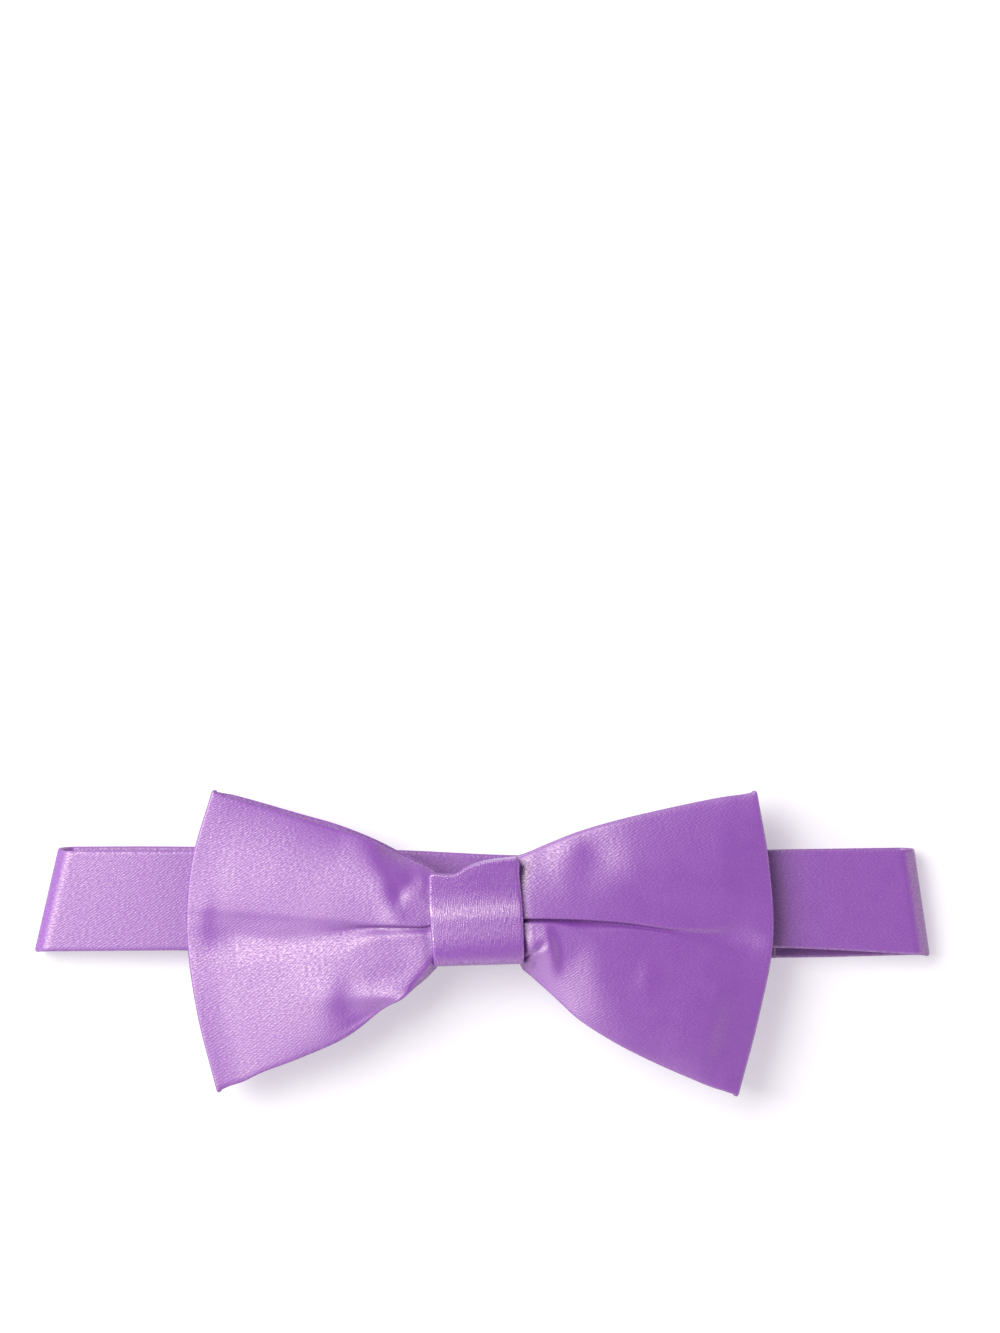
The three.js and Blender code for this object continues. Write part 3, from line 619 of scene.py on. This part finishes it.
def shader_node(tree, kind, values=None, **settings):
    """Adds a node, with its settings, and with values or links for its inputs by name or number."""
    made = tree.nodes.new(kind)
    for name, value in settings.items():
        setattr(made, name, value)
    for socket, value in (values or {}).items():
        if isinstance(value, bpy.types.NodeSocket):
            tree.links.new(value, made.inputs[socket])
        else:
            made.inputs[socket].default_value = value
    return made


def maths(tree, operation, *values):
    """The result of one sum on numbers or sockets."""
    return shader_node(tree, "ShaderNodeMath", dict(enumerate(values)), operation=operation).outputs[0]


def noise(tree, vector, name):
    """One of the soft noises at a place, from 0 to 1."""
    scale, detail = NOISES[name]
    values = {"Vector": vector, "Scale": scale, "Detail": detail}
    return shader_node(tree, "ShaderNodeTexNoise", values).outputs["Fac"]


def smooth_range(tree, value, start, end, low, high):
    """From low at start to high at end, with a smooth rise."""
    values = {"Value": value, "From Min": start, "From Max": end, "To Min": low, "To Max": high}
    made = shader_node(tree, "ShaderNodeMapRange", values, interpolation_type="SMOOTHSTEP")
    return made.outputs[0]


def satin_weave():
    """The satin's weave: fine slanting twill lines, long thin thread floats and a broad soft mottle.
    It takes the cloth's own coordinates in millimetres and gives colour, roughness, glint and normal."""
    group = bpy.data.node_groups.new("satin weave", "ShaderNodeTree")
    sockets = group.interface
    for name, kind in (("Cloth", "Vector"), ("Colour", "Color"), ("Thread", "Color")):
        sockets.new_socket(name, in_out="INPUT", socket_type="NodeSocket" + kind)
    for name, value in FLAT_WEAVE.items():
        sockets.new_socket(name, in_out="INPUT", socket_type="NodeSocketFloat").default_value = value
    results = (("Colour", "Color"), ("Roughness", "Float"), ("Glint", "Float"), ("Normal", "Vector"))
    for name, kind in results:
        sockets.new_socket(name, in_out="OUTPUT", socket_type="NodeSocket" + kind)
    given = shader_node(group, "NodeGroupInput").outputs
    place = given["Cloth"]

    slant = shader_node(
        group, "ShaderNodeVectorMath", {0: place, 1: TWILL_DIRECTION}, operation="DOT_PRODUCT"
    )
    drift = noise(group, place, "drift")
    phase = maths(group, "DIVIDE", slant.outputs["Value"], given["Pitch"])
    phase = maths(group, "MULTIPLY_ADD", drift, TWILL_DRIFT, phase)
    twill = maths(group, "SINE", maths(group, "MULTIPLY", phase, 2 * math.pi))

    float_size = {"X": given["Float length"], "Y": given["Float width"], "Z": 1.0}
    float_size = shader_node(group, "ShaderNodeCombineXYZ", float_size).outputs[0]
    stretched = shader_node(group, "ShaderNodeVectorMath", {0: place, 1: float_size}, operation="DIVIDE")
    floats = noise(group, stretched.outputs[0], "floats")
    mottle = noise(group, place, "mottle")

    tips = maths(group, "MULTIPLY_ADD", twill, WEAVE_SHARES["glint"]["twill"], floats)
    glint = smooth_range(group, tips, *GLINT_FROM, 0, GLINT)

    raised = WEAVE_SHARES["height"]
    height = maths(group, "MULTIPLY", floats, raised["floats"])
    height = maths(group, "MULTIPLY_ADD", twill, raised["twill"], height)
    distance = maths(group, "MULTIPLY", given["Relief"], MM)
    bump = {"Height": height, "Distance": distance, "Strength": 1.0}
    bump = shader_node(group, "ShaderNodeBump", bump)

    tinted = WEAVE_SHARES["tint"]
    grain = maths(group, "MULTIPLY", mottle, tinted["mottle"])
    grain = maths(group, "MULTIPLY_ADD", floats, tinted["floats"], grain)
    tint = shader_node(group, "ShaderNodeMix", {"Factor": grain}, data_type="RGBA")
    group.links.new(given["Colour"], tint.inputs[MIX_COLOURS[0]])
    group.links.new(given["Thread"], tint.inputs[MIX_COLOURS[1]])

    roughened = WEAVE_SHARES["roughness"]
    uneven = maths(group, "SUBTRACT", NOISE_MIDDLE, floats)
    uneven = maths(group, "MULTIPLY", uneven, given["Unevenness"])
    rough = maths(group, "ADD", uneven, given["Roughness"])
    patchy = maths(group, "SUBTRACT", mottle, NOISE_MIDDLE)
    rough = maths(group, "MULTIPLY_ADD", patchy, roughened["mottle"], rough)
    rough = maths(group, "MULTIPLY_ADD", twill, roughened["twill"], rough)

    colour = tint.outputs[MIX_RESULT]
    results = {"Colour": colour, "Roughness": rough, "Glint": glint, "Normal": bump.outputs[0]}
    shader_node(group, "NodeGroupOutput", results)
    return group


def satin(name, weave, values, streak):
    """Satin: a dark lilac body under a broad pale sheen, which is narrow along the thread floats."""
    material = bpy.data.materials.new(name)
    material.use_nodes = True
    tree = material.node_tree
    shader = tree.nodes["Principled BSDF"]
    cloth = shader_node(tree, "ShaderNodeUVMap", uv_map="cloth").outputs[0]
    values = {"Cloth": cloth, "Colour": (*LILAC, 1), "Thread": (*LILAC_THREAD, 1), **values}
    woven = shader_node(tree, "ShaderNodeGroup", values, node_tree=weave)
    tree.links.new(woven.outputs["Colour"], shader.inputs["Base Color"])
    tree.links.new(woven.outputs["Roughness"], shader.inputs["Roughness"])
    tree.links.new(woven.outputs["Glint"], shader.inputs["Coat Weight"])
    tree.links.new(woven.outputs["Normal"], shader.inputs["Normal"])
    tangent = shader_node(tree, "ShaderNodeTangent", direction_type="UV_MAP", uv_map="cloth")
    tree.links.new(tangent.outputs[0], shader.inputs["Tangent"])
    shader.inputs["Anisotropic"].default_value = streak
    for socket, value in SHEEN.items():
        shader.inputs[socket].default_value = value
    return material


def plated_steel():
    """Plated steel with fine brushing along Y."""
    material = bpy.data.materials.new("plated steel")
    material.use_nodes = True
    tree = material.node_tree
    shader = tree.nodes["Principled BSDF"]
    place = shader_node(tree, "ShaderNodeTexCoord").outputs["Object"]
    brushed = shader_node(tree, "ShaderNodeMapping", {"Vector": place, "Scale": BRUSHED})
    strokes = noise(tree, brushed.outputs[0], "strokes")
    smooth, dull = STEEL_ROUGHNESS
    rough = shader_node(tree, "ShaderNodeMapRange", {"Value": strokes, "To Min": smooth, "To Max": dull})
    bump = shader_node(tree, "ShaderNodeBump", {"Height": strokes, "Distance": BRUSH_DEPTH * MM})
    shader.inputs["Base Color"].default_value = (*STEEL, 1)
    shader.inputs["Metallic"].default_value = 1.0
    tree.links.new(rough.outputs[0], shader.inputs["Roughness"])
    tree.links.new(bump.outputs[0], shader.inputs["Normal"])
    return material


def white_board():
    """The plain white surface that the tie lies on."""
    mesh = bpy.data.meshes.new("white_board")
    corners = [(-1, -1), (1, -1), (1, 1), (-1, 1)]
    mesh.from_pydata([(x * BOARD_REACH, y * BOARD_REACH, 0) for x, y in corners], [], [(0, 1, 2, 3)])
    board = bpy.data.objects.new("white_board", mesh)
    bpy.context.scene.collection.objects.link(board)
    material = bpy.data.materials.new("white board")
    material.use_nodes = True
    shader = material.node_tree.nodes["Principled BSDF"]
    shader.inputs["Base Color"].default_value = (BOARD_WHITE, BOARD_WHITE, BOARD_WHITE, 1)
    shader.inputs["Roughness"].default_value = 0.9
    shader.inputs["Specular IOR Level"].default_value = 0.0
    # Painted light: this glow lightens the shadows on the board and tints them lilac.
    shader.inputs["Emission Color"].default_value = (*BOARD_PAINTED_GLOW, 1)
    shader.inputs["Emission Strength"].default_value = 1.0
    mesh.materials.append(material)


def place_camera():
    """A camera that looks straight down and frames the photograph's height."""
    lens = bpy.data.cameras.new("camera")
    lens.sensor_fit = "VERTICAL"
    lens.sensor_height = SENSOR
    lens.lens = SENSOR * (CAMERA[2] - LEVEL) / (PHOTO_HEIGHT * PIXEL)
    camera = bpy.data.objects.new("camera", lens)
    camera.location = [value * MM for value in CAMERA]
    bpy.context.scene.collection.objects.link(camera)
    bpy.context.scene.camera = camera


def light_studio():
    """One big soft panel up to the left, and a white fill from all round."""
    lamp = bpy.data.lights.new("key panel", "AREA")
    lamp.shape = "SQUARE"
    lamp.size = KEY_SIDE * MM
    lamp.energy = KEY_POWER
    panel = bpy.data.objects.new("key panel", lamp)
    away = unit(np.array(KEY_FROM))
    panel.location = away * KEY_DISTANCE * MM
    panel.rotation_euler = (math.acos(away[2]), 0, math.atan2(away[1], away[0]) + math.pi / 2)
    bpy.context.scene.collection.objects.link(panel)

    world = bpy.data.worlds.new("white room")
    world.use_nodes = True
    tree = world.node_tree
    direction = shader_node(tree, "ShaderNodeTexCoord").outputs["Generated"]
    parts = shader_node(tree, "ShaderNodeSeparateXYZ", {"Vector": direction}).outputs
    strength = smooth_range(tree, parts["Z"], *FILL_HEIGHTS, FILL_LOW, FILL_OVERHEAD)
    beyond = smooth_range(tree, parts["Y"], *FILL_DEPTHS, 1.0, FILL_BEYOND)
    fill = maths(tree, "MULTIPLY", strength, beyond)
    tree.nodes["Background"].inputs["Color"].default_value = (1, 1, 1, 1)
    tree.links.new(fill, tree.nodes["Background"].inputs["Strength"])
    bpy.context.scene.world = world
    bpy.context.scene.view_settings.view_transform = "Standard"


place_camera()
light_studio()
white_board()

weave = satin_weave()
bow_satin = satin("bow satin", weave, FLAT_WEAVE, FLAT_STREAK)
band_satin = satin("band satin", weave, FLAT_WEAVE, FLAT_STREAK)
knot_satin = satin("knot satin", weave, KNOT_WEAVE, KNOT_STREAK)

bow = cloth_wall("bow", bow_grid(), BOW_CLOTH, True, bow_grid(INNER_SOFTNESS))
bow.data.materials.append(bow_satin)
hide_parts("bow_loop")

knot = cloth_wall("knot", knot_grid(KNOT_TOP_POWER), KNOT_CLOTH, True, knot_grid(KNOT_POWER))
knot.data.materials.append(knot_satin)
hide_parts("knot_wrap")

band = cloth_wall("band", band_grid(), BAND_CLOTH, False)
band.data.materials.append(band_satin)
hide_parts("neck_band")

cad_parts["clasp"].material_slots[0].material = plated_steel()

for piece in (bow, knot, band):
    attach(piece, "root")
